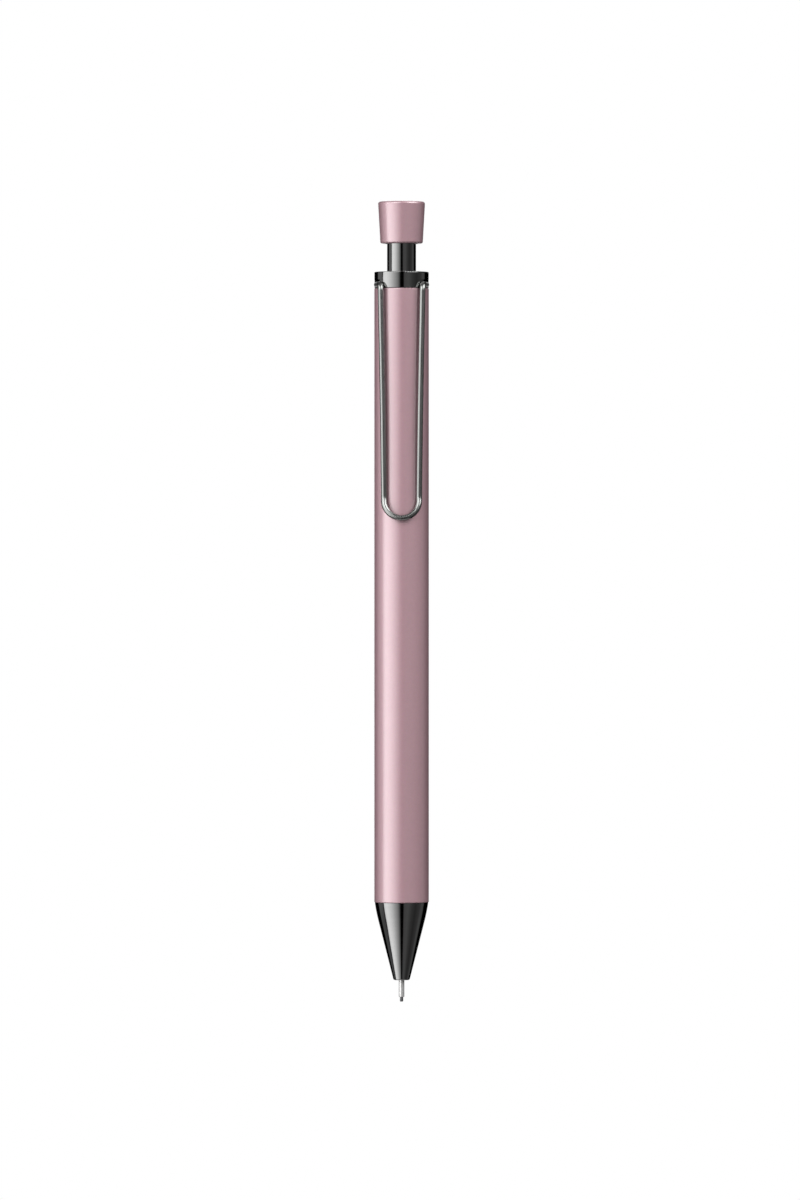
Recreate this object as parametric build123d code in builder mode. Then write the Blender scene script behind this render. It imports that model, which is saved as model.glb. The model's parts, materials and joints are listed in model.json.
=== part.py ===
from build123d import *

import math
import os

# A push-button lead holder for fine leads, standing upright with its writing tip down.
# Millimetres. +Z runs from the tip to the button along the axis, and -Y is the clip's side.
# The origin is the lower end of the guide sleeve, on the axis.

# ---------------------------------------------------------------- driving dimensions

# stations along the axis
CONE_FRONT_Z = 2.9
BARREL_FRONT_Z = 16.2
BARREL_REAR_Z = 121.3
RING_REAR_Z = 124.15
BUTTON_FRONT_Z = 129.0
BUTTON_REAR_Z = 136.2

# outer radii
SLEEVE_R = 0.48
CONE_TIP_R = 1.38
CONE_BASE_R = 4.60
CONE_SWELL_R = 3.99
CONE_SWELL_Z = 13.1
BARREL_R = 4.675
STEM_R = 2.485
BUTTON_FRONT_R = 3.635
BUTTON_REAR_R = 4.04

# lead and travel
LEAD_R = 0.28
LEAD_STANDOUT = 0.8
LEAD_END_Z = 47.0
PUSH_TRAVEL = 3.5
CLUTCH_TRAVEL = 0.8

# clearances between pieces that move on each other
FACE_GAP = 0.02
LINER_GAP = 0.03
SLIDE_GAP = 0.05
TAPER_GAP = 0.06
ROOMY_GAP = 0.1

# broken edges
SLEEVE_EDGE = 0.06
LEAD_EDGE = 0.08
PIN_EDGE = 0.08
RETAINER_EDGE = 0.1
WIRE_EDGE = 0.1
CONE_EDGE = 0.12
CLUTCH_EDGE = 0.12
BARREL_EDGE = 0.15
LINER_EDGE = 0.15
BUTTON_FRONT_EDGE = 0.35
BUTTON_REAR_EDGE = 0.4
ERASER_EDGE = 0.5

# barrel and its fixed inserts
BARREL_BORE_R = 3.925
INSERT_RECESS = 0.3
INSERT_BORE_R = 3.5
INSERT_THROAT_R = 2.8
INSERT_REAR_Z = 26.0

# cone and its screw thread
THREAD_PITCH = 0.75
THREAD_DEPTH = 0.4
THREAD_WIDTH = 0.6
THREAD_GROOVES = 6
THREAD_RUN_IN = 1.2
SPIGOT_R = INSERT_BORE_R - SLIDE_GAP
SPIGOT_REAR_Z = 22.2

# mechanism
SHANK_R = 0.75
SLEEVE_BORE_R = LEAD_R + 0.02
SLEEVE_FLOOR_Z = 5.0
SLEEVE_REAR_Z = 5.5
RETAINER_POCKET_R = 1.25
RETAINER_REAR_Z = 7.3
CHUCK_WAY_R = 1.6
CLUTCH_STOP_Z = 10.78
CLUTCH_WAY_R = 2.05
CLUTCH_R = 1.9
CLUTCH_FRONT_Z = CLUTCH_STOP_Z + CLUTCH_TRAVEL + FACE_GAP
CLUTCH_REAR_Z = 15.1
CHUCK_FRONT_Z = 11.2
CHUCK_SHOULDER_Z = 12.0
CHUCK_NECK_Z = 14.6
CHUCK_STUB_Z = 26.0
CHUCK_REAR_Z = 30.0
CHUCK_GRIP_END_Z = 13.8
CHUCK_FACE_R = 1.2
CHUCK_HEAD_R = 1.45
CHUCK_BODY_R = 1.05
CHUCK_STUB_R = 1.2
CHUCK_BORE_R = 0.56
CHUCK_SLIT = 0.25
SLIT_OVERLAP = 0.1
CHUCK_SLIT_END_Z = 19.0
JAW_COUNT = 3
HOUSING_NECK_R = 1.95
HOUSING_BODY_R = 2.6
HOUSING_FLANGE_R = 3.3
HOUSING_FLANGE = 1.0
HOUSING_CLEARANCE = 0.5
HOUSING_SHOULDER_Z = 17.0
SPRING_SEAT_Z = 17.4
SPRING_BORE_R = 1.95
SPRING_MEAN_R = 1.55
SPRING_WIRE_R = 0.15
SPRING_TURNS = 8
CONNECTOR_FRONT_Z = 27.5
CONNECTOR_SHOULDER_Z = 35.0
CONNECTOR_REAR_Z = 37.5
CONNECTOR_BORE_R = 0.45
FUNNEL_R = 0.96
FUNNEL_DEPTH = 1.5

# magazine and stem
MAGAZINE_BORE_R = 1.6
MAGAZINE_R = 2.0
MAGAZINE_REAR_Z = 118.0
SPARE_LEADS = 4
SPARE_LEAD_LENGTH = 60.0
SPARE_GAP = 0.12
STEM_FRONT_Z = 106.0
STEM_REAR_Z = 131.5
RING_SPIGOT_Z = 112.0
BUSH_R = 2.9
BUSH_RECESS = 0.5
BUSH_REAR_Z = 123.4

# eraser and button
FERRULE_R = 2.05
FERRULE_FRONT_Z = 126.5
FERRULE_FLOOR = 0.5
FERRULE_FLANGE_R = 2.4
FERRULE_FLANGE = 0.4
ERASER_R = 1.75
ERASER_TOP_Z = 134.4
PIN_R = 0.2
PIN_FRONT_Z = 113.0
BUTTON_BORE_R = 2.95
BUTTON_BORE_END_Z = 134.8
LINER_RECESS = 0.2
LINER_REAR_Z = 133.0

# wire clip
WIRE_R = 0.5
LOOP_R = 3.0
LOOP_GAP = 0.075
LOOP_LOW_Z = 82.0
LOOP_LEAN = 16.0
KNEE_RUN = 0.46
LEG_MID = (3.16, -4.42, 100.0)
LEG_TOP_X = 3.6
LEG_TOP_Y = -4.13
PIVOT_Z = 121.95
PIVOT_OUT_X = 4.34
PIVOT_IN_X = 2.97
KNEE_BEND_R = 3.0
LEG_BOW_R = 800.0
TOP_BEND_R = 1.0
SIDE_BEND_R = 0.6
PIVOT_HOLE_R = WIRE_R + SLIDE_GAP

# clip's notches in the cap ring
NOTCH_INNER_X = 3.76
NOTCH_FRONT_X = 2.9
NOTCH_OUTER_X = 6.0
NOTCH_REAR_Y = 0.66
NOTCH_FRONT_Y = -5.0
NOTCH_HEIGHT = 1.5

os.makedirs("parts", exist_ok=True)

# ---------------------------------------------------------------- barrel

with BuildPart() as barrel:
    with BuildSketch(Plane.XY.offset(BARREL_FRONT_Z)):
        Circle(BARREL_R)
        Circle(BARREL_BORE_R, mode=Mode.SUBTRACT)
    extrude(amount=BARREL_REAR_Z - BARREL_FRONT_Z)
    fillet(barrel.edges().filter_by(GeomType.CIRCLE).group_by(SortBy.RADIUS)[-1], BARREL_EDGE)
barrel.part.label = "barrel"
export_step(barrel.part, "parts/barrel.step")

# ---------------------------------------------------------------- front insert
# A bush pressed in the barrel's front, which the nose cone screws into.
# Its inner step holds the mechanism housing's flange.

housing_flange_z = SPIGOT_REAR_Z + ROOMY_GAP
housing_step_z = housing_flange_z + HOUSING_FLANGE

with BuildPart() as front_insert:
    with BuildSketch(Plane.XY.offset(BARREL_FRONT_Z + INSERT_RECESS)):
        Circle(BARREL_BORE_R)
    extrude(amount=INSERT_REAR_Z - BARREL_FRONT_Z - INSERT_RECESS)
    with BuildSketch(Plane.XY.offset(BARREL_FRONT_Z)):
        Circle(INSERT_BORE_R)
    extrude(amount=housing_step_z - BARREL_FRONT_Z, mode=Mode.SUBTRACT)
    with BuildSketch(Plane.XY.offset(housing_step_z)):
        Circle(INSERT_THROAT_R)
    extrude(amount=INSERT_REAR_Z - housing_step_z, mode=Mode.SUBTRACT)
front_insert.part.label = "front_insert"
export_step(front_insert.part, "parts/front_insert.step")

# ---------------------------------------------------------------- nose cone
# A straight cone that rounds over at its base, then a spigot with thread grooves. Inside,
# from the tip: the sleeve's seat, the retainer's pocket, the chuck's way, the clutch ring's
# way and the housing's way.

cone_rear_z = BARREL_FRONT_Z - FACE_GAP
thread_front_z = BARREL_FRONT_Z + THREAD_RUN_IN

with BuildPart() as nose_cone:
    with BuildSketch(Plane.XZ):
        with BuildLine():
            side = Line((CONE_TIP_R, CONE_FRONT_Z), (CONE_SWELL_R, CONE_SWELL_Z))
            swell = TangentArc(side @ 1, (CONE_BASE_R, cone_rear_z), tangent=side % 1)
            Polyline(
                swell @ 1,
                (SPIGOT_R, cone_rear_z),
                (SPIGOT_R, SPIGOT_REAR_Z),
                (0, SPIGOT_REAR_Z),
                (0, CONE_FRONT_Z),
                side @ 0,
            )
        make_face()
    revolve(axis=Axis.Z)
    chamfer(nose_cone.edges().sort_by(Axis.Z)[0], CONE_EDGE)
    for groove in range(THREAD_GROOVES):
        groove_z = thread_front_z + groove * THREAD_PITCH
        with BuildSketch(Plane.XZ):
            with BuildLine():
                Polyline(
                    (SPIGOT_R, groove_z - THREAD_WIDTH / 2),
                    (SPIGOT_R - THREAD_DEPTH, groove_z),
                    (SPIGOT_R, groove_z + THREAD_WIDTH / 2),
                    close=True,
                )
            make_face()
        revolve(axis=Axis.Z, mode=Mode.SUBTRACT)
    with BuildSketch(Plane.XZ):
        with BuildLine():
            Polyline(
                (0, CONE_FRONT_Z),
                (SHANK_R, CONE_FRONT_Z),
                (SHANK_R, SLEEVE_FLOOR_Z),
                (RETAINER_POCKET_R, SLEEVE_FLOOR_Z),
                (RETAINER_POCKET_R, RETAINER_REAR_Z),
                (CHUCK_WAY_R, RETAINER_REAR_Z),
                (CHUCK_WAY_R, CLUTCH_STOP_Z),
                (CLUTCH_WAY_R, CLUTCH_STOP_Z),
                (CLUTCH_WAY_R, HOUSING_SHOULDER_Z - ROOMY_GAP),
                (HOUSING_BODY_R + ROOMY_GAP, HOUSING_SHOULDER_Z - ROOMY_GAP),
                (HOUSING_BODY_R + ROOMY_GAP, SPIGOT_REAR_Z),
                (0, SPIGOT_REAR_Z),
                close=True,
            )
        make_face()
    revolve(axis=Axis.Z, mode=Mode.SUBTRACT)
nose_cone.part.label = "nose_cone"
export_step(nose_cone.part, "parts/nose_cone.step")

# ---------------------------------------------------------------- guide sleeve
# A thin tube with a thicker shank and a flange that seats in the cone.

with BuildPart() as guide_sleeve:
    with BuildSketch(Plane.XY):
        Circle(SLEEVE_R)
    extrude(amount=SLEEVE_REAR_Z)
    chamfer(guide_sleeve.edges().sort_by(Axis.Z)[0], SLEEVE_EDGE)
    with BuildSketch(Plane.XY.offset(CONE_FRONT_Z)):
        Circle(SHANK_R)
    extrude(amount=SLEEVE_REAR_Z - CONE_FRONT_Z)
    with BuildSketch(Plane.XY.offset(SLEEVE_FLOOR_Z)):
        Circle(RETAINER_POCKET_R - ROOMY_GAP)
    extrude(amount=SLEEVE_REAR_Z - SLEEVE_FLOOR_Z)
    with Locations((0, 0, SLEEVE_REAR_Z)):
        CounterSinkHole(radius=SLEEVE_BORE_R, counter_sink_radius=SHANK_R)
guide_sleeve.part.label = "guide_sleeve"
export_step(guide_sleeve.part, "parts/guide_sleeve.step")

# ---------------------------------------------------------------- lead retainer

retainer_front_z = SLEEVE_REAR_Z + FACE_GAP
retainer_rear_z = RETAINER_REAR_Z - SLIDE_GAP

with BuildPart() as lead_retainer:
    with BuildSketch(Plane.XY.offset(retainer_front_z)):
        Circle(RETAINER_POCKET_R - SLIDE_GAP)
        Circle(SLEEVE_BORE_R, mode=Mode.SUBTRACT)
    extrude(amount=retainer_rear_z - retainer_front_z)
    outer_edges = lead_retainer.edges().filter_by(GeomType.CIRCLE).group_by(SortBy.RADIUS)[-1]
    fillet(outer_edges, RETAINER_EDGE)
lead_retainer.part.label = "lead_retainer"
export_step(lead_retainer.part, "parts/lead_retainer.step")

# ---------------------------------------------------------------- writing lead

with BuildPart() as writing_lead:
    with BuildSketch(Plane.XY.offset(-LEAD_STANDOUT)):
        Circle(LEAD_R)
    extrude(amount=LEAD_END_Z + LEAD_STANDOUT)
    chamfer(writing_lead.edges().sort_by(Axis.Z)[0], LEAD_EDGE)
writing_lead.part.label = "writing_lead"
export_step(writing_lead.part, "parts/writing_lead.step")

# ---------------------------------------------------------------- chuck
# A collet: a tapered head split into jaws, a slim body and a stub for the connector.

with BuildPart() as chuck:
    with BuildSketch(Plane.XZ):
        with BuildLine():
            Polyline(
                (SLEEVE_BORE_R, CHUCK_FRONT_Z),
                (CHUCK_FACE_R, CHUCK_FRONT_Z),
                (CHUCK_HEAD_R, CHUCK_SHOULDER_Z),
                (CHUCK_BODY_R, CHUCK_NECK_Z),
                (CHUCK_BODY_R, CHUCK_STUB_Z),
                (CHUCK_STUB_R, CHUCK_STUB_Z),
                (CHUCK_STUB_R, CHUCK_REAR_Z),
                (CHUCK_BORE_R, CHUCK_REAR_Z),
                (CHUCK_BORE_R, CHUCK_NECK_Z),
                (SLEEVE_BORE_R, CHUCK_GRIP_END_Z),
                close=True,
            )
        make_face()
    revolve(axis=Axis.Z)
    with BuildSketch(Plane.XY.offset(CHUCK_FRONT_Z)):
        with PolarLocations(CHUCK_HEAD_R / 2, JAW_COUNT):
            Rectangle(CHUCK_HEAD_R + 2 * SLIT_OVERLAP, CHUCK_SLIT)
    extrude(amount=CHUCK_SLIT_END_Z - CHUCK_FRONT_Z, mode=Mode.SUBTRACT)
chuck.part.label = "chuck"
export_step(chuck.part, "parts/chuck.step")

# ---------------------------------------------------------------- clutch ring
# Its bore follows the chuck head's taper at a running clearance.

with BuildPart() as clutch_ring:
    with BuildSketch(Plane.XZ):
        with BuildLine():
            Polyline(
                (CHUCK_HEAD_R + TAPER_GAP, CLUTCH_FRONT_Z),
                (CLUTCH_R, CLUTCH_FRONT_Z),
                (CLUTCH_R, CLUTCH_REAR_Z),
                (CHUCK_BODY_R + TAPER_GAP, CLUTCH_REAR_Z),
                (CHUCK_BODY_R + TAPER_GAP, CHUCK_NECK_Z),
                (CHUCK_HEAD_R + TAPER_GAP, CHUCK_SHOULDER_Z),
                close=True,
            )
        make_face()
    revolve(axis=Axis.Z)
    chamfer(clutch_ring.edges().filter_by(GeomType.CIRCLE).group_by(SortBy.RADIUS)[-1], CLUTCH_EDGE)
clutch_ring.part.label = "clutch_ring"
export_step(clutch_ring.part, "parts/clutch_ring.step")

# ---------------------------------------------------------------- mechanism housing
# A sleeve round the spring. The magazine stops short of its rear end when fully pressed.

housing_rear_z = CONNECTOR_SHOULDER_Z - PUSH_TRAVEL - HOUSING_CLEARANCE

with BuildPart() as mechanism_housing:
    with BuildSketch(Plane.XZ):
        with BuildLine():
            Polyline(
                (CHUCK_BODY_R + ROOMY_GAP, CLUTCH_REAR_Z + FACE_GAP),
                (HOUSING_NECK_R, CLUTCH_REAR_Z + FACE_GAP),
                (HOUSING_NECK_R, HOUSING_SHOULDER_Z),
                (HOUSING_BODY_R, HOUSING_SHOULDER_Z),
                (HOUSING_BODY_R, housing_flange_z),
                (HOUSING_FLANGE_R, housing_flange_z),
                (HOUSING_FLANGE_R, housing_step_z),
                (HOUSING_BODY_R, housing_step_z),
                (HOUSING_BODY_R, housing_rear_z),
                (SPRING_BORE_R, housing_rear_z),
                (SPRING_BORE_R, SPRING_SEAT_Z),
                (CHUCK_BODY_R + ROOMY_GAP, SPRING_SEAT_Z),
                close=True,
            )
        make_face()
    revolve(axis=Axis.Z)
mechanism_housing.part.label = "mechanism_housing"
export_step(mechanism_housing.part, "parts/mechanism_housing.step")

# ---------------------------------------------------------------- chuck spring

spring_front_z = SPRING_SEAT_Z + SPRING_WIRE_R + FACE_GAP
spring_rear_z = CONNECTOR_FRONT_Z - SPRING_WIRE_R - FACE_GAP
spring_length = spring_rear_z - spring_front_z

with BuildPart() as chuck_spring:
    with BuildLine():
        coil = Helix(
            pitch=spring_length / SPRING_TURNS,
            height=spring_length,
            radius=SPRING_MEAN_R,
            center=(0, 0, spring_front_z),
        )
    with BuildSketch(Plane(origin=coil @ 0, z_dir=coil % 0)):
        Circle(SPRING_WIRE_R)
    sweep(path=coil, is_frenet=True)
chuck_spring.part.label = "chuck_spring"
export_step(chuck_spring.part, "parts/chuck_spring.step")

# ---------------------------------------------------------------- magazine connector
# It pushes on the spring, grips the chuck's stub and funnels the next lead into it.

with BuildPart() as magazine_connector:
    with BuildSketch(Plane.XZ):
        with BuildLine():
            Polyline(
                (CHUCK_STUB_R, CONNECTOR_FRONT_Z),
                (SPRING_BORE_R - ROOMY_GAP, CONNECTOR_FRONT_Z),
                (SPRING_BORE_R - ROOMY_GAP, CONNECTOR_SHOULDER_Z),
                (MAGAZINE_BORE_R, CONNECTOR_SHOULDER_Z),
                (MAGAZINE_BORE_R, CONNECTOR_REAR_Z),
                (FUNNEL_R, CONNECTOR_REAR_Z),
                (CONNECTOR_BORE_R, CONNECTOR_REAR_Z - FUNNEL_DEPTH),
                (CONNECTOR_BORE_R, CHUCK_REAR_Z),
                (CHUCK_STUB_R, CHUCK_REAR_Z),
                close=True,
            )
        make_face()
    revolve(axis=Axis.Z)
magazine_connector.part.label = "magazine_connector"
export_step(magazine_connector.part, "parts/magazine_connector.step")

# ---------------------------------------------------------------- lead magazine

with BuildPart() as lead_magazine:
    with BuildSketch(Plane.XY.offset(CONNECTOR_SHOULDER_Z)):
        Circle(MAGAZINE_R)
        Circle(MAGAZINE_BORE_R, mode=Mode.SUBTRACT)
    extrude(amount=MAGAZINE_REAR_Z - CONNECTOR_SHOULDER_Z)
lead_magazine.part.label = "lead_magazine"
export_step(lead_magazine.part, "parts/lead_magazine.step")

# ---------------------------------------------------------------- spare leads
# They stand on the connector's rim, spread round the magazine.

spare_circle_r = MAGAZINE_BORE_R - LEAD_R - SPARE_GAP

with BuildPart() as spare_leads:
    with BuildSketch(Plane.XY.offset(CONNECTOR_REAR_Z)):
        with PolarLocations(spare_circle_r, SPARE_LEADS):
            Circle(LEAD_R)
    extrude(amount=SPARE_LEAD_LENGTH)
spare_leads.part.label = "spare_leads"
export_step(spare_leads.part, "parts/spare_leads.step")

# ---------------------------------------------------------------- push stem
# The magazine is pressed in its lower end, and the eraser's ferrule sits in its top.

with BuildPart() as push_stem:
    with BuildSketch(Plane.XY.offset(STEM_FRONT_Z)):
        Circle(STEM_R)
    extrude(amount=STEM_REAR_Z - STEM_FRONT_Z)
    with BuildSketch(Plane.XY.offset(STEM_FRONT_Z)):
        Circle(MAGAZINE_R)
    extrude(amount=MAGAZINE_REAR_Z - STEM_FRONT_Z, mode=Mode.SUBTRACT)
    with BuildSketch(Plane.XY.offset(MAGAZINE_REAR_Z)):
        Circle(MAGAZINE_BORE_R)
    extrude(amount=STEM_REAR_Z - MAGAZINE_REAR_Z, mode=Mode.SUBTRACT)
    with BuildSketch(Plane.XY.offset(FERRULE_FRONT_Z - ROOMY_GAP)):
        Circle(FERRULE_R + SLIDE_GAP)
    extrude(amount=STEM_REAR_Z - FERRULE_FRONT_Z + ROOMY_GAP, mode=Mode.SUBTRACT)
push_stem.part.label = "push_stem"
export_step(push_stem.part, "parts/push_stem.step")

# ---------------------------------------------------------------- cap ring
# The head closes the barrel and the spigot is pressed in it. A notch on each side takes
# the clip's arm with room to swing, and a cross hole through both sides takes its ends.

with BuildPart() as cap_ring:
    with BuildSketch(Plane.XY.offset(BARREL_REAR_Z)):
        Circle(BARREL_R)
    extrude(amount=RING_REAR_Z - BARREL_REAR_Z)
    fillet(cap_ring.edges().filter_by(GeomType.CIRCLE), BARREL_EDGE)
    with BuildSketch(Plane.XY.offset(RING_SPIGOT_Z)):
        Circle(BARREL_BORE_R)
    extrude(amount=BARREL_REAR_Z - RING_SPIGOT_Z + BARREL_EDGE)
    with BuildSketch(Plane.XY.offset(RING_SPIGOT_Z)):
        Circle(BUSH_R)
    extrude(amount=BUSH_REAR_Z - RING_SPIGOT_Z, mode=Mode.SUBTRACT)
    with BuildSketch(Plane.XY.offset(BUSH_REAR_Z)):
        Circle(STEM_R + ROOMY_GAP)
    extrude(amount=RING_REAR_Z - BUSH_REAR_Z, mode=Mode.SUBTRACT)
    with BuildSketch(Plane.XY.offset(BARREL_REAR_Z)):
        with BuildLine():
            Polyline(
                (NOTCH_INNER_X, NOTCH_REAR_Y),
                (NOTCH_OUTER_X, NOTCH_REAR_Y),
                (NOTCH_OUTER_X, NOTCH_FRONT_Y),
                (NOTCH_FRONT_X, NOTCH_FRONT_Y),
                close=True,
            )
        make_face()
        mirror(about=Plane.YZ)
    extrude(amount=NOTCH_HEIGHT, mode=Mode.SUBTRACT)
    with BuildSketch(Plane.YZ.offset(-NOTCH_OUTER_X)):
        with Locations((0, PIVOT_Z)):
            Circle(PIVOT_HOLE_R)
    extrude(amount=2 * NOTCH_OUTER_X, mode=Mode.SUBTRACT)
cap_ring.part.label = "cap_ring"
export_step(cap_ring.part, "parts/cap_ring.step")

# ---------------------------------------------------------------- guide bush

bush_front_z = RING_SPIGOT_Z + BUSH_RECESS

with BuildPart() as guide_bush:
    with BuildSketch(Plane.XY.offset(bush_front_z)):
        Circle(BUSH_R)
        Circle(STEM_R + SLIDE_GAP, mode=Mode.SUBTRACT)
    extrude(amount=BUSH_REAR_Z - bush_front_z)
guide_bush.part.label = "guide_bush"
export_step(guide_bush.part, "parts/guide_bush.step")

# ---------------------------------------------------------------- wire clip
# One half of the wire runs from the loop's lowest point up the leg, back along the ring's
# side and inwards to its end in the cross hole. The other half is its mirror image.
# The legs hug the barrel's sides, and the loop leans forward from them to pass its front.

loop_lean = math.radians(LOOP_LEAN)
loop_low_y = -(BARREL_R + LOOP_GAP + WIRE_R)
loop_plane = Plane(
    origin=(
        0,
        loop_low_y + LOOP_R * math.sin(loop_lean),
        LOOP_LOW_Z + LOOP_R * math.cos(loop_lean),
    ),
    x_dir=(1, 0, 0),
    z_dir=Vector(0, -1, 0).rotate(Axis.X, -LOOP_LEAN),
)

with BuildPart() as wire_clip:
    with BuildLine(loop_plane) as half_wire:
        loop = CenterArc((0, 0), LOOP_R, -90, 90)
        FilletPolyline(
            loop @ 1,
            loop @ 1 + (loop % 1) * KNEE_RUN,
            Vector(LEG_MID),
            Vector(LEG_TOP_X, LEG_TOP_Y, PIVOT_Z),
            Vector(PIVOT_OUT_X, 0, PIVOT_Z),
            Vector(PIVOT_IN_X, 0, PIVOT_Z),
            radius=(KNEE_BEND_R, LEG_BOW_R, TOP_BEND_R, SIDE_BEND_R),
        )
    with BuildSketch(Plane(origin=loop @ 0, z_dir=loop % 0)):
        Circle(WIRE_R)
    sweep(path=half_wire.wire())
    chamfer(wire_clip.faces().filter_by(GeomType.PLANE).sort_by(Axis.Z)[-1].edges(), WIRE_EDGE)
    mirror(about=Plane.YZ)
wire_clip.part.label = "wire_clip"
export_step(wire_clip.part, "parts/wire_clip.step")

# ---------------------------------------------------------------- eraser ferrule

ferrule_floor_z = FERRULE_FRONT_Z + FERRULE_FLOOR
ferrule_flange_z = STEM_REAR_Z + FACE_GAP
ferrule_rear_z = ferrule_flange_z + FERRULE_FLANGE

with BuildPart() as eraser_ferrule:
    with BuildSketch(Plane.XZ):
        with BuildLine():
            Polyline(
                (PIN_R, FERRULE_FRONT_Z),
                (FERRULE_R, FERRULE_FRONT_Z),
                (FERRULE_R, ferrule_flange_z),
                (FERRULE_FLANGE_R, ferrule_flange_z),
                (FERRULE_FLANGE_R, ferrule_rear_z),
                (ERASER_R, ferrule_rear_z),
                (ERASER_R, ferrule_floor_z),
                (PIN_R, ferrule_floor_z),
                close=True,
            )
        make_face()
    revolve(axis=Axis.Z)
eraser_ferrule.part.label = "eraser_ferrule"
export_step(eraser_ferrule.part, "parts/eraser_ferrule.step")

# ---------------------------------------------------------------- eraser

with BuildPart() as eraser:
    with BuildSketch(Plane.XY.offset(ferrule_floor_z)):
        Circle(ERASER_R)
    extrude(amount=ERASER_TOP_Z - ferrule_floor_z)
    fillet(eraser.edges().sort_by(Axis.Z)[-1], ERASER_EDGE)
eraser.part.label = "eraser"
export_step(eraser.part, "parts/eraser.step")

# ---------------------------------------------------------------- cleaning pin

with BuildPart() as cleaning_pin:
    with BuildSketch(Plane.XY.offset(PIN_FRONT_Z)):
        Circle(PIN_R)
    extrude(amount=ferrule_floor_z - PIN_FRONT_Z)
    chamfer(cleaning_pin.edges().sort_by(Axis.Z)[0], PIN_EDGE)
cleaning_pin.part.label = "cleaning_pin"
export_step(cleaning_pin.part, "parts/cleaning_pin.step")

# ---------------------------------------------------------------- push button
# A cap that widens to its flat top, with a blind bore from below.

with BuildPart() as push_button:
    with BuildSketch(Plane.XZ):
        with BuildLine():
            Polyline(
                (0, BUTTON_FRONT_Z),
                (BUTTON_FRONT_R, BUTTON_FRONT_Z),
                (BUTTON_REAR_R, BUTTON_REAR_Z),
                (0, BUTTON_REAR_Z),
                close=True,
            )
        make_face()
    revolve(axis=Axis.Z)
    fillet(push_button.edges().sort_by(Axis.Z)[-1], BUTTON_REAR_EDGE)
    fillet(push_button.edges().sort_by(Axis.Z)[0], BUTTON_FRONT_EDGE)
    with BuildSketch(Plane.XY.offset(BUTTON_FRONT_Z)):
        Circle(BUTTON_BORE_R)
    extrude(amount=BUTTON_BORE_END_Z - BUTTON_FRONT_Z, mode=Mode.SUBTRACT)
push_button.part.label = "push_button"
export_step(push_button.part, "parts/push_button.step")

# ---------------------------------------------------------------- button liner

liner_front_z = BUTTON_FRONT_Z + LINER_RECESS

with BuildPart() as button_liner:
    with BuildSketch(Plane.XY.offset(liner_front_z)):
        Circle(BUTTON_BORE_R)
        Circle(STEM_R + LINER_GAP, mode=Mode.SUBTRACT)
    extrude(amount=LINER_REAR_Z - liner_front_z)
    chamfer(button_liner.edges().group_by(Axis.Z)[0].sort_by(SortBy.RADIUS)[0], LINER_EDGE)
button_liner.part.label = "button_liner"
export_step(button_liner.part, "parts/button_liner.step")
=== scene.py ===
import json
import math

import bpy
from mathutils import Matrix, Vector


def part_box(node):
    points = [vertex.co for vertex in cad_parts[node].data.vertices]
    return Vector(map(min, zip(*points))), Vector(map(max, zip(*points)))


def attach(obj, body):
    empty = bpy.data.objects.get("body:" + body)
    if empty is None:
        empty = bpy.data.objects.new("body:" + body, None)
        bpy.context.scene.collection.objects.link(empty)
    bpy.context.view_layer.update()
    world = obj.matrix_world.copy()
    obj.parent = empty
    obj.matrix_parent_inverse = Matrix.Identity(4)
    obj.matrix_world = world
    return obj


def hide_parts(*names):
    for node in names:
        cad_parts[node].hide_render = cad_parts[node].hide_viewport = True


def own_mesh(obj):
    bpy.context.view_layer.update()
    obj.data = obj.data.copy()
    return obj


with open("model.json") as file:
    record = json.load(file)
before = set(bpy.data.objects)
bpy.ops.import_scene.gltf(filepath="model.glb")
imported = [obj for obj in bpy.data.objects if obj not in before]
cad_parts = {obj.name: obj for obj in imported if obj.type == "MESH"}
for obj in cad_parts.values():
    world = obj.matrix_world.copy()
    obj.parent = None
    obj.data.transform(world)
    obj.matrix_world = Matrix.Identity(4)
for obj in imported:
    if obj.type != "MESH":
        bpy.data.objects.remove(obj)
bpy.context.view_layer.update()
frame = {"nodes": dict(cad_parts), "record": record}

MM = 0.001
scene = bpy.context.scene

# ---------------------------------------------------------------- nodes

# How a texture's coordinates are scaled: evenly, drawn out along the axis, or turned round it.
EVEN = (1, 1, 1)
LENGTHWISE = (1, 1, 0.02)
ROUND = (0.03, 0.03, 1)

# Most of a noise texture's values lie between these two.
NOISE_LOW = 0.3
NOISE_HIGH = 0.7
GRAIN_DETAIL = 3.0
PATCH_DETAIL = 2.0
BUMP_DETAIL = 2.0
PATCH_SIZE = 7  # a patch of wandering gloss, as a multiple of the grain
HALF = 0.5

# The sockets of a Mix node that blends two colours.
MIX_FACTOR, MIX_A, MIX_B, MIX_RESULT = 0, 6, 7, 2


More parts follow.
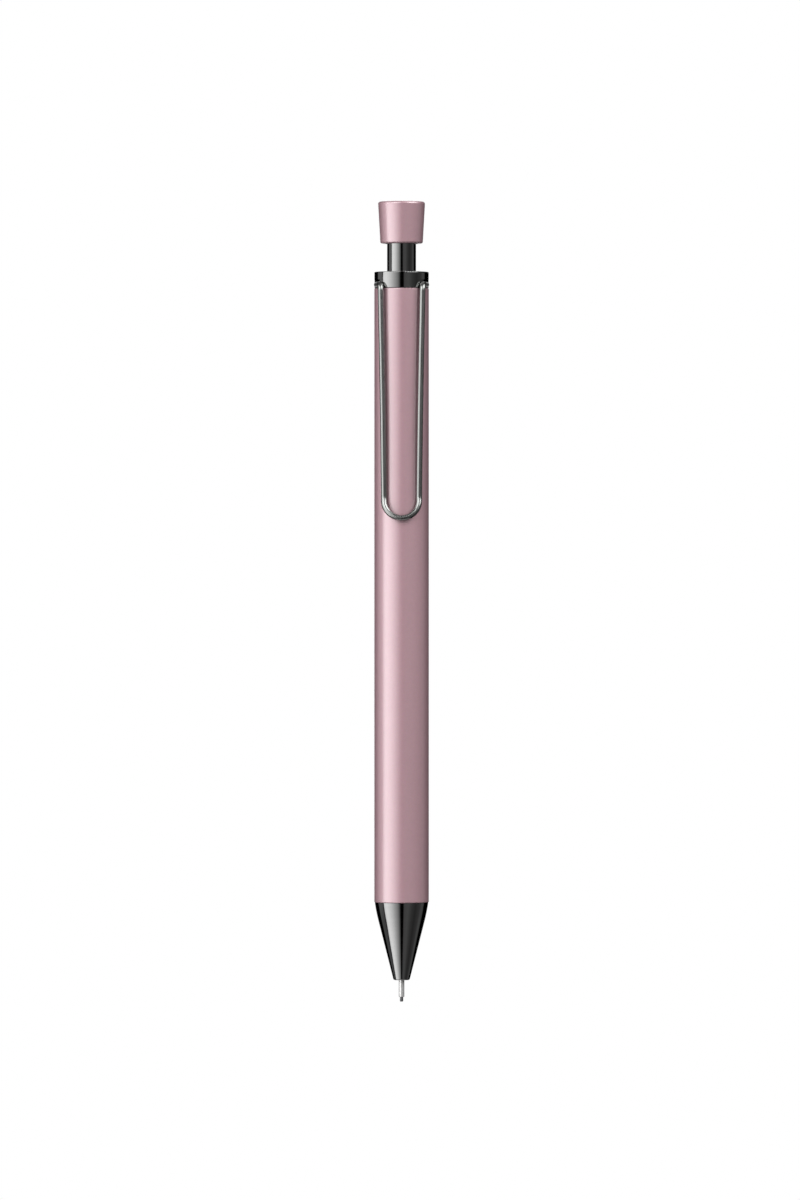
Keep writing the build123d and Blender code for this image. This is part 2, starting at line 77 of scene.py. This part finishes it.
class Nodes:
    """A small helper that adds nodes to one material or world and links them."""

    def __init__(self, owner):
        owner.use_nodes = True
        self.tree = owner.node_tree
        self.tree.nodes.clear()

    def add(self, kind, **settings):
        node = self.tree.nodes.new(kind)
        for name, value in settings.items():
            setattr(node, name, value)
        return node

    def link(self, source, target):
        self.tree.links.new(source, target)

    def math(self, operation, first, second=None):
        node = self.add("ShaderNodeMath", operation=operation)
        for socket, value in zip(node.inputs, (first, second)):
            if value is None:
                continue
            if isinstance(value, (int, float)):
                socket.default_value = value
            else:
                self.link(value, socket)
        return node.outputs[0]

    def ramp(self, factor, stops):
        """A colour ramp; a stop is (position, grey level or colour)."""
        node = self.add("ShaderNodeValToRGB")
        elements = node.color_ramp.elements
        while len(elements) > 1:
            elements.remove(elements[-1])
        for index, (position, colour) in enumerate(stops):
            element = elements[0] if index == 0 else elements.new(position)
            element.position = position
            rgb = (colour,) * 3 if isinstance(colour, (int, float)) else colour
            element.color = (*rgb, 1)
        self.link(factor, node.inputs[0])
        return node.outputs[0]

    def place(self, stretch):
        """Object coordinates, which are the frame's own metres, scaled per axis."""
        coordinates = self.add("ShaderNodeTexCoord")
        mapping = self.add("ShaderNodeMapping")
        mapping.inputs["Scale"].default_value = stretch
        self.link(coordinates.outputs["Object"], mapping.inputs["Vector"])
        return mapping.outputs[0]

    def noise(self, grain_mm, stretch, detail):
        node = self.add("ShaderNodeTexNoise")
        node.inputs["Scale"].default_value = 1 / (grain_mm * MM)
        node.inputs["Detail"].default_value = detail
        self.link(self.place(stretch), node.inputs["Vector"])
        return node.outputs["Fac"]

    def flakes(self, grain_mm):
        """One flat random colour per cell."""
        node = self.add("ShaderNodeTexVoronoi")
        node.inputs["Scale"].default_value = 1 / (grain_mm * MM)
        self.link(self.place(EVEN), node.inputs["Vector"])
        return node.outputs["Color"]

    def bump(self, heights):
        """Stacked bumps, each (height, depth in mm); each adds to the last."""
        normal = None
        for height, depth_mm in heights:
            node = self.add("ShaderNodeBump")
            node.inputs["Strength"].default_value = 1
            node.inputs["Distance"].default_value = depth_mm * MM
            self.link(height, node.inputs["Height"])
            if normal is not None:
                self.link(normal, node.inputs["Normal"])
            normal = node.outputs[0]
        return normal


# ---------------------------------------------------------------- materials


def tones(colour, reach):
    """Ramp stops for a colour that gets darker and lighter by the share reach."""
    darker, lighter = ([c * share for c in colour] for share in (1 - reach, 1 + reach))
    return [(NOISE_LOW, darker), (NOISE_HIGH, lighter)]


def spread(centre, reach):
    """Ramp stops for a value that wanders by reach either side of centre."""
    return [(NOISE_LOW, max(centre - reach, 0)), (NOISE_HIGH, min(centre + reach, 1))]


def surface(name, colour, roughness, tone, wander, grain_mm, layers,
            metallic=0.0, stretch=EVEN, extra=None):
    """A principled finish whose colour varies by tone and whose roughness wanders.

    Each layer is a bump of the real texture: its grain in mm, its stretch, its depth in mm.
    """
    material = bpy.data.materials.new(name)
    n = Nodes(material)
    output = n.add("ShaderNodeOutputMaterial")
    shader = n.add("ShaderNodeBsdfPrincipled")
    n.link(shader.outputs[0], output.inputs[0])
    shader.inputs["Metallic"].default_value = metallic
    grain = n.noise(grain_mm, stretch, GRAIN_DETAIL)
    n.link(n.ramp(grain, tones(colour, tone)), shader.inputs["Base Color"])
    patches = n.noise(grain_mm * PATCH_SIZE, stretch, PATCH_DETAIL)
    mixed = n.math("ADD", n.math("MULTIPLY", grain, HALF), n.math("MULTIPLY", patches, HALF))
    n.link(n.ramp(mixed, spread(roughness, wander)), shader.inputs["Roughness"])
    heights = [(n.noise(size_mm, way, BUMP_DETAIL), depth_mm) for size_mm, way, depth_mm in layers]
    n.link(n.bump(heights), shader.inputs["Normal"])
    if extra:
        extra(n, shader)
    return material


FLAKE_MM = 0.06
FLAKE_CONTRAST = 0.10
LACQUER_IOR = 2.4
LACQUER_ROUGHNESS = 0.27


def pearl(n, shader):
    """Fine mica flakes under a satin lacquer: each flake is a little lighter or darker."""
    base = shader.inputs["Base Color"]
    grain = base.links[0].from_socket
    flake = n.add("ShaderNodeMix", data_type="RGBA", blend_type="SOFT_LIGHT")
    flake.inputs[MIX_FACTOR].default_value = FLAKE_CONTRAST
    n.link(grain, flake.inputs[MIX_A])
    n.link(n.flakes(FLAKE_MM), flake.inputs[MIX_B])
    n.link(flake.outputs[MIX_RESULT], base)
    shader.inputs["Coat Weight"].default_value = 1.0
    shader.inputs["Coat IOR"].default_value = LACQUER_IOR
    shader.inputs["Coat Roughness"].default_value = LACQUER_ROUGHNESS


FINISHES = {
    "rose_metal": dict(
        colour=(0.63, 0.412, 0.458), roughness=0.72, metallic=1.0, tone=0.02, wander=0.02,
        grain_mm=0.8, layers=[(1.1, EVEN, 0.0006), (0.07, EVEN, 0.0004)], extra=pearl),
    "black_chrome": dict(
        colour=(0.277, 0.277, 0.275), roughness=0.075, metallic=1.0, tone=0.02, wander=0.03,
        grain_mm=0.5, stretch=ROUND, layers=[(0.05, ROUND, 0.00012)]),
    "black_wire": dict(
        colour=(0.305, 0.315, 0.305), roughness=0.27, metallic=1.0, tone=0.05, wander=0.05,
        grain_mm=0.12, stretch=LENGTHWISE, layers=[(0.05, LENGTHWISE, 0.0004)]),
    "stainless": dict(
        colour=(0.73, 0.725, 0.72), roughness=0.25, metallic=0.55, tone=0.03, wander=0.04,
        grain_mm=0.2, stretch=LENGTHWISE, layers=[(0.12, LENGTHWISE, 0.0001)]),
    "spring_steel": dict(
        colour=(0.62, 0.62, 0.63), roughness=0.24, metallic=1.0, tone=0.05, wander=0.06,
        grain_mm=0.08, layers=[(0.04, EVEN, 0.0005)]),
    "brass": dict(
        colour=(0.78, 0.57, 0.26), roughness=0.24, metallic=1.0, tone=0.06, wander=0.07,
        grain_mm=0.15, stretch=ROUND, layers=[(0.06, ROUND, 0.001)]),
    "tinned_metal": dict(
        colour=(0.70, 0.70, 0.69), roughness=0.28, metallic=1.0, tone=0.05, wander=0.08,
        grain_mm=0.2, stretch=LENGTHWISE, layers=[(0.06, LENGTHWISE, 0.0008)]),
    "dark_plastic": dict(
        colour=(0.06, 0.06, 0.065), roughness=0.5, tone=0.10, wander=0.08,
        grain_mm=0.25, layers=[(0.06, EVEN, 0.002)]),
    "clear_grey_plastic": dict(
        colour=(0.30, 0.30, 0.31), roughness=0.25, tone=0.05, wander=0.06,
        grain_mm=0.5, stretch=LENGTHWISE, layers=[(0.15, LENGTHWISE, 0.001)]),
    "white_plastic": dict(
        colour=(0.80, 0.80, 0.775), roughness=0.42, tone=0.02, wander=0.06,
        grain_mm=0.4, layers=[(0.08, EVEN, 0.0015)]),
    "black_rubber": dict(
        colour=(0.03, 0.03, 0.03), roughness=0.75, tone=0.12, wander=0.08,
        grain_mm=0.2, layers=[(0.08, EVEN, 0.003)]),
    "eraser_rubber": dict(
        colour=(0.86, 0.86, 0.84), roughness=0.85, tone=0.03, wander=0.06,
        grain_mm=0.3, layers=[(0.5, EVEN, 0.004), (0.06, EVEN, 0.003)]),
    "graphite": dict(
        colour=(0.15, 0.15, 0.155), roughness=0.33, metallic=0.75, tone=0.12, wander=0.10,
        grain_mm=0.08, stretch=(1, 1, 0.3), layers=[(0.03, EVEN, 0.001)]),
}

materials = {name: surface(name, **finish) for name, finish in FINISHES.items()}
slot_of = {entry["node"]: entry["material_slot"] for entry in frame["record"]["subparts"]}
for name, node in frame["nodes"].items():
    node.data.materials.clear()
    node.data.materials.append(materials[slot_of[name]])

# ---------------------------------------------------------------- chuck spring

SPRING_WIRE_R = 0.15 * MM
SPRING_SIDES = 12
SPRING_STEPS_PER_TURN = 40
SPRING_DEAD_TURNS = 1.0
SPRING_LIVE_TURNS = 6.0
SPRING_DEAD_PITCH = 2.04 * SPRING_WIRE_R  # the end turns all but touch


def spring_mesh(low, high):
    """A compression spring with a closed turn at each end, which fills the given box."""
    mean_r = (high.x - low.x) / 2 - SPRING_WIRE_R
    centre_x = (low.x + high.x) / 2
    centre_y = (low.y + high.y) / 2
    start_z = low.z + SPRING_WIRE_R
    end_z = high.z - SPRING_WIRE_R
    turns = SPRING_LIVE_TURNS + 2 * SPRING_DEAD_TURNS
    steps = int(turns * SPRING_STEPS_PER_TURN)
    live_rise = end_z - start_z - 2 * SPRING_DEAD_PITCH

    def height(turn):
        if turn < SPRING_DEAD_TURNS:
            return start_z + SPRING_DEAD_PITCH * turn / SPRING_DEAD_TURNS
        if turn > turns - SPRING_DEAD_TURNS:
            return end_z - SPRING_DEAD_PITCH * (turns - turn) / SPRING_DEAD_TURNS
        share = (turn - SPRING_DEAD_TURNS) / SPRING_LIVE_TURNS
        return start_z + SPRING_DEAD_PITCH + live_rise * share

    def centre(step):
        turn = turns * step / steps
        angle = 2 * math.pi * turn
        x = centre_x + mean_r * math.cos(angle)
        y = centre_y + mean_r * math.sin(angle)
        return Vector((x, y, height(turn)))

    vertices, faces = [], []
    for step in range(steps + 1):
        here = centre(step)
        along = (centre(min(step + 1, steps)) - centre(max(step - 1, 0))).normalized()
        outward = Vector((here.x - centre_x, here.y - centre_y, 0)).normalized()
        upward = along.cross(outward).normalized()
        outward = upward.cross(along).normalized()
        for side in range(SPRING_SIDES):
            angle = 2 * math.pi * side / SPRING_SIDES
            spoke = outward * math.cos(angle) + upward * math.sin(angle)
            vertices.append(here + SPRING_WIRE_R * spoke)
    for step in range(steps):
        for side in range(SPRING_SIDES):
            first = step * SPRING_SIDES + side
            second = step * SPRING_SIDES + (side + 1) % SPRING_SIDES
            faces.append((first, second, second + SPRING_SIDES, first + SPRING_SIDES))
    faces.append(tuple(reversed(range(SPRING_SIDES))))
    faces.append(tuple(steps * SPRING_SIDES + side for side in range(SPRING_SIDES)))
    mesh = bpy.data.meshes.new("chuck_spring_wound")
    mesh.from_pydata(vertices, [], faces)
    mesh.validate()
    mesh.update()
    for polygon in mesh.polygons:
        polygon.use_smooth = len(polygon.vertices) == 4
    return mesh


spring_low, spring_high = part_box("chuck_spring")
spring = bpy.data.objects.new("chuck_spring_wound", spring_mesh(spring_low, spring_high))
scene.collection.objects.link(spring)
spring.data.materials.append(materials["spring_steel"])
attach(spring, "holder")
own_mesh(spring)
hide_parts("chuck_spring")

# ---------------------------------------------------------------- camera

CAMERA_DISTANCE = 1.6
CAMERA_X = -0.267 * MM
CAMERA_HEIGHT = 67.97 * MM
PHOTO_SPAN = 205.52 * MM  # the height at the object that the photo's frame takes in
CAMERA_REACH = 100
SENSOR = 36

camera = bpy.data.objects.new("camera", bpy.data.cameras.new("camera"))
scene.collection.objects.link(camera)
camera.data.sensor_width = SENSOR
camera.data.lens = SENSOR * CAMERA_DISTANCE / PHOTO_SPAN
camera.data.clip_end = CAMERA_REACH
camera.location = (CAMERA_X, -CAMERA_DISTANCE, CAMERA_HEIGHT)
camera.rotation_euler = (math.radians(90), 0, 0)
scene.camera = camera

# ---------------------------------------------------------------- studio

scene.view_settings.view_transform = "Standard"

# Each band of light is a level by azimuth times a level by elevation, both in degrees.
# Azimuth 0 is the camera's side and 90 is to its right.
RING_BY_AZIMUTH = [
    (-180, 0.3), (-170, 0.3), (-162, 0.0), (-85.5, 0.0), (-83.5, 0.72), (-70, 0.80),
    (-58, 0.71), (-46, 0.58), (-33, 0.39), (-17, 0.19), (-9, 0.07), (-5, 0.0),
    (8, 0.0), (12, 0.054), (30, 0.062), (48, 0.034), (66, 0.02), (90, 0.035),
    (100, 0.06), (112, 0.05), (116, 0.0), (162, 0.0), (170, 0.3), (180, 0.3),
]
RING_BY_ELEVATION = [
    (-90, 0.0), (-44, 0.0), (-36, 0.95), (0, 1.0), (25, 1.1), (40, 1.0), (48, 0.0), (90, 0.0),
]
EDGE_BY_AZIMUTH = [(-180, 0.0), (-121, 0.0), (-116, 0.11), (-93, 0.11), (-88, 0.0), (180, 0.0)]
EDGE_BY_ELEVATION = [(-90, 0.0), (-30, 0.2), (-4, 1.0), (40, 1.0), (50, 0.0), (90, 0.0)]
POLES_BY_AZIMUTH = [(-180, 1.0), (180, 1.0)]
POLES_BY_ELEVATION = [(-90, 0.15), (-63, 0.15), (-56, 0.0), (66, 0.0), (74, 0.10), (90, 0.10)]
BAND_STRENGTH = 3.0
RAMP_TOP = 1.2  # a ramp holds levels up to 1, so the elevations' levels are divided by this
WHITE = (1, 1, 1, 1)

world = bpy.data.worlds.new("studio")
scene.world = world
w = Nodes(world)
output = w.add("ShaderNodeOutputWorld")
direction = w.add("ShaderNodeTexCoord").outputs["Generated"]
axes = w.add("ShaderNodeSeparateXYZ")
w.link(direction, axes.inputs[0])
towards_camera = w.math("MULTIPLY", axes.outputs["Y"], -1.0)
azimuth = w.math("ARCTAN2", axes.outputs["X"], towards_camera)
elevation = w.math("ARCSINE", axes.outputs["Z"])
azimuth_share = w.math("ADD", w.math("DIVIDE", azimuth, 2 * math.pi), HALF)
elevation_share = w.math("ADD", w.math("DIVIDE", elevation, math.pi), HALF)


def band(by_azimuth, by_elevation):
    """A soft band of light round the object."""
    across = w.ramp(azimuth_share, [(a / 360 + HALF, v) for a, v in by_azimuth])
    up = w.ramp(elevation_share, [(e / 180 + HALF, v / RAMP_TOP) for e, v in by_elevation])
    return w.math("MULTIPLY", across, up)


ring = band(RING_BY_AZIMUTH, RING_BY_ELEVATION)
edge = band(EDGE_BY_AZIMUTH, EDGE_BY_ELEVATION)
poles = band(POLES_BY_AZIMUTH, POLES_BY_ELEVATION)
level = w.math("MULTIPLY", w.math("ADD", w.math("ADD", ring, edge), poles),
               BAND_STRENGTH * RAMP_TOP)

# The backdrop behind the object is plain white; the bands only light it.
bands = w.add("ShaderNodeBackground")
bands.inputs["Color"].default_value = WHITE
w.link(level, bands.inputs["Strength"])
backdrop = w.add("ShaderNodeBackground")
backdrop.inputs["Color"].default_value = WHITE
seen = w.add("ShaderNodeMixShader")
w.link(w.add("ShaderNodeLightPath").outputs["Is Camera Ray"], seen.inputs[0])
w.link(bands.outputs[0], seen.inputs[1])
w.link(backdrop.outputs[0], seen.inputs[2])
w.link(seen.outputs[0], output.inputs["Surface"])

OBJECT_MIDDLE = Vector((0, 0, 68 * MM))
LIGHT_DISTANCE = 1.6


def softlight(name, azimuth, elevation, width, height, radiance):
    """A rectangular soft light that faces the object from an azimuth and elevation."""
    data = bpy.data.lights.new(name, "AREA")
    data.shape = "RECTANGLE"
    data.size = width
    data.size_y = height
    data.energy = radiance * math.pi * width * height
    light = bpy.data.objects.new(name, data)
    scene.collection.objects.link(light)
    a, e = math.radians(azimuth), math.radians(elevation)
    back = Vector((math.sin(a) * math.cos(e), -math.cos(a) * math.cos(e), math.sin(e)))
    light.location = OBJECT_MIDDLE + back * LIGHT_DISTANCE
    light.rotation_euler = back.to_track_quat("Z", "Y").to_euler()
    light.visible_camera = False


softlight("front_light", azimuth=-26, elevation=30, width=1.0, height=0.9, radiance=2.6)
softlight("right_light", azimuth=60, elevation=38, width=1.4, height=1.2, radiance=4.0)
softlight("back_light", azimuth=180, elevation=46, width=0.8, height=0.6, radiance=2.5)

FLOOR_Z = -1.75
FLOOR_R = 6.0
FLOOR_SIDES = 96
FLOOR_GLOW = 0.4


def glow(n, shader):
    """The floor is a pale sweep that carries a little light of its own."""
    shader.inputs["Emission Color"].default_value = WHITE
    shader.inputs["Emission Strength"].default_value = FLOOR_GLOW


rim = []
for side in range(FLOOR_SIDES):
    angle = 2 * math.pi * side / FLOOR_SIDES
    rim.append((FLOOR_R * math.cos(angle), FLOOR_R * math.sin(angle), FLOOR_Z))
floor_mesh = bpy.data.meshes.new("floor")
floor_mesh.from_pydata(rim, [], [tuple(range(FLOOR_SIDES))])
floor_mesh.materials.append(surface(
    "floor_paint", colour=(0.92, 0.92, 0.915), roughness=0.7, tone=0.004, wander=0.03,
    grain_mm=60, layers=[(12, EVEN, 0.2)], extra=glow))
floor = bpy.data.objects.new("floor", floor_mesh)
scene.collection.objects.link(floor)
# The floor casts no light or shade on the object, which stands far above it.
floor.visible_diffuse = False
floor.visible_glossy = False
floor.visible_shadow = False
